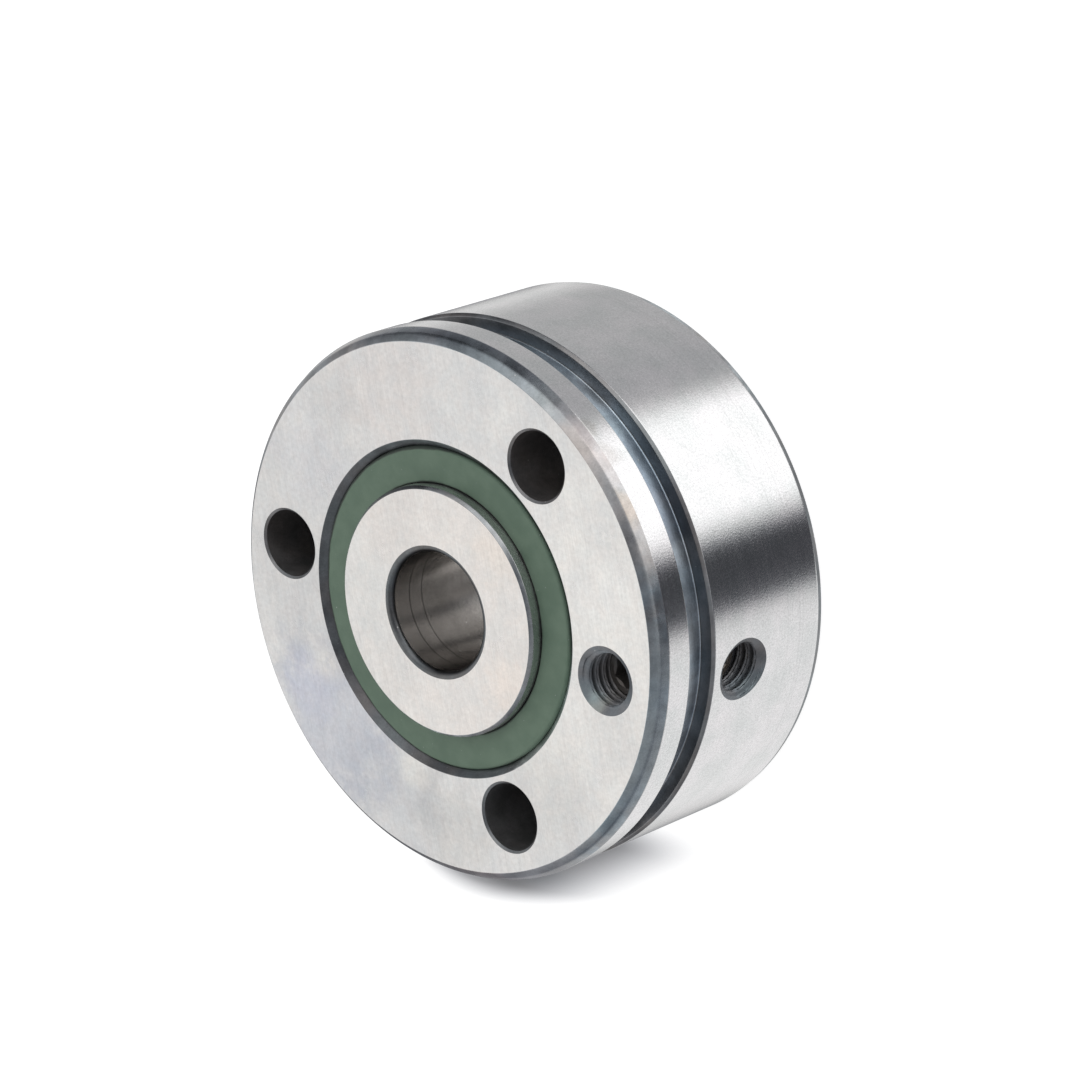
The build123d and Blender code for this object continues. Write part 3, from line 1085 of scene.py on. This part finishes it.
def photograph_table():
    """Patch of the table under the rim, seen from above at a slant, dark where the ring covers it."""
    material, tree, shader, camera_ray, above = white_surface("table_white", 0.3)
    cover = tree.nodes.new("ShaderNodeAmbientOcclusion")
    cover.inputs["Distance"].default_value = 12 * MM
    place = tree.nodes.new("ShaderNodeTexCoord").outputs["Object"]
    across, along, _ = separate(tree, place)
    front = ring_width / 2
    bow = 0.041 / MM
    bow_middle = -5 * MM
    aside = calc(tree, "POWER", calc(tree, "ABSOLUTE", calc(tree, "SUBTRACT", across, bow_middle)), 2.0)
    rounded = calc(tree, "ADD", along, calc(tree, "MULTIPLY", aside, bow))
    shadow = ramp_between(tree, cover.outputs["AO"], 0.985, 0.91)
    for share in (ramp_between(tree, rounded, front + 3.5 * MM, front - 3 * MM),
                  ramp_between(tree, along, -front - 1 * MM, -front + 8 * MM),
                  ramp_between(tree, across, -18.7 * MM, -6 * MM),
                  ramp_between(tree, across, 12 * MM, 2 * MM)):
        shadow = calc(tree, "MULTIPLY", shadow, share)
    glow = calc(tree, "SUBTRACT", 1.01, calc(tree, "MULTIPLY", shadow, 0.90))
    link(tree, calc(tree, "MULTIPLY", camera_ray, glow), shader.inputs["Emission Strength"])
    tone = blend_colours(tree, shadow, (1.0, 1.0, 1.0), (0.94, 0.95, 1.0))
    link(tree, tone, shader.inputs["Emission Color"])
    away = measured(tree, "LENGTH", place)
    edge = ramp_between(tree, away, table_size * 0.6, table_size * 0.95, 1.0, 0.0)
    seen = calc(tree, "MULTIPLY", slanting(tree, 0.35, 0.5), above)
    link(tree, calc(tree, "MULTIPLY", edge, seen), shader.inputs["Alpha"])
    table = plane("table", table_size, material)
    down = Vector((math.cos(rest_angle), math.sin(rest_angle), 0.0))
    axis = Vector((0.0, 0.0, 1.0))
    turn = Matrix((axis.cross(-down), axis, -down)).transposed().to_4x4()
    table.matrix_world = Matrix.Translation(down * outer_r + axis * ring_width / 2) @ turn
    table.visible_diffuse = False
    table.visible_transmission = False


pale_floor()
photograph_table()


# Studio: panels of light in the directions that the polished surfaces mirror


def light_panel():
    """Mask of a soft-edged panel in the sky, placed by azimuth and elevation in degrees."""
    tree, given, out = new_group(
        "light panel",
        [("Azimuth", "value", 0.0), ("Elevation", "value", 0.0), ("Turn", "value", 0.0),
         ("Half width", "value", 20.0), ("Height", "value", 0.0), ("Half height", "value", 20.0),
         ("Softness", "value", 8.0)],
        [("Mask", "value")])
    masks = []
    for angle, centre, half in (("Azimuth", "Turn", "Half width"), ("Elevation", "Height", "Half height")):
        apart = calc(tree, "SUBTRACT", given[angle], given[centre])
        apart = calc(tree, "ABSOLUTE", calc(tree, "WRAP", apart, 180.0, -180.0))
        inner = calc(tree, "SUBTRACT", given[half], given["Softness"])
        outer = calc(tree, "ADD", given[half], given["Softness"])
        masks.append(ramp_between(tree, apart, outer, inner))
    link(tree, calc(tree, "MULTIPLY", *masks), out["Mask"])
    return tree


# Turn, half width, height and half height in degrees, softness in degrees, light added there
panels = [
    (215, 62, 52, 38, 9, 0.55),
    (53.5, 27.5, -46, 22, 8, 0.93),
    (53, 26, 0, 24, 8, 0.93),
    (150, 38, -44, 22, 16, 0.06),
    (92, 28, 44, 28, 6, 0.74),
    (-66, 58, -56, 32, 18, 0.50),
    (198, 22, -42, 25, 18, 0.48),
]
# The same for dark flags, with the share of light that each takes away
flags = [
    (6, 15, -48, 38, 4, 0.86),
    (8, 13, 3, 13, 4, 0.70),
    (-48, 50, 8, 12, 10, 0.49),
    (131, 37, 1, 21, 16, 0.88),
    (10, 42, 57, 14, 10, 0.55),
    (-150, 18, -40, 22, 12, 0.85),
    (-128, 24, -17, 24, 8, 0.42),
]
base_light = 0.45


def studio_world():
    world = bpy.data.worlds.new("studio")
    bpy.context.scene.world = world
    world.use_nodes = True
    tree = world.node_tree
    tree.nodes.clear()
    x, y, z = separate(tree, tree.nodes.new("ShaderNodeTexCoord").outputs["Generated"])
    azimuth = calc(tree, "DEGREES", calc(tree, "ARCTAN2", y, x))
    elevation = calc(tree, "DEGREES", calc(tree, "ARCSINE", z))
    group = light_panel()

    def mask(turn, half_width, height, half_height, softness):
        return place_group(tree, group, Azimuth=azimuth, Elevation=elevation, Turn=turn,
                           Half_width=half_width, Height=height, Half_height=half_height,
                           Softness=softness)["Mask"]

    light = base_light
    for *place, strength in panels:
        light = calc(tree, "ADD", calc(tree, "MULTIPLY", mask(*place), strength), light)
    for *place, share in flags:
        kept = calc(tree, "SUBTRACT", 1.0, calc(tree, "MULTIPLY", mask(*place), share))
        light = calc(tree, "MULTIPLY", light, kept)
    studio = tree.nodes.new("ShaderNodeBackground")
    tone = blend_colours(tree, ramp_between(tree, light, 0.08, 0.6), (0.92, 0.95, 1.06), (1.005, 1.0, 0.99))
    link(tree, tone, studio.inputs["Color"])
    link(tree, light, studio.inputs["Strength"])
    backdrop = tree.nodes.new("ShaderNodeBackground")
    backdrop.inputs["Color"].default_value = (1.0, 1.0, 1.0, 1.0)
    rays = tree.nodes.new("ShaderNodeLightPath")
    mix = tree.nodes.new("ShaderNodeMixShader")
    link(tree, rays.outputs["Is Camera Ray"], mix.inputs[0])
    link(tree, studio.outputs[0], mix.inputs[1])
    link(tree, backdrop.outputs[0], mix.inputs[2])
    output = tree.nodes.new("ShaderNodeOutputWorld")
    link(tree, mix.outputs[0], output.inputs["Surface"])


studio_world()


# Camera, from the ratio of the ring's outlines in the photograph


def photograph_camera():
    camera = bpy.data.objects.new("camera", bpy.data.cameras.new("camera"))
    bpy.context.scene.collection.objects.link(camera)
    right = Vector((0.73602, 0.07060, -0.67327))
    up = Vector((-0.30469, 0.92268, -0.23630))
    back = right.cross(up)
    turn = Matrix((right, up, back)).transposed()
    camera.matrix_world = Matrix.Translation(Vector((247.964, 159.316, 297.832)) * MM) @ turn.to_4x4()
    camera.data.sensor_width = 36.0
    camera.data.lens = 139.44
    camera.data.clip_start = 0.01
    camera.data.clip_end = 10.0
    bpy.context.scene.camera = camera


photograph_camera()

bpy.context.scene.view_settings.view_transform = "Standard"
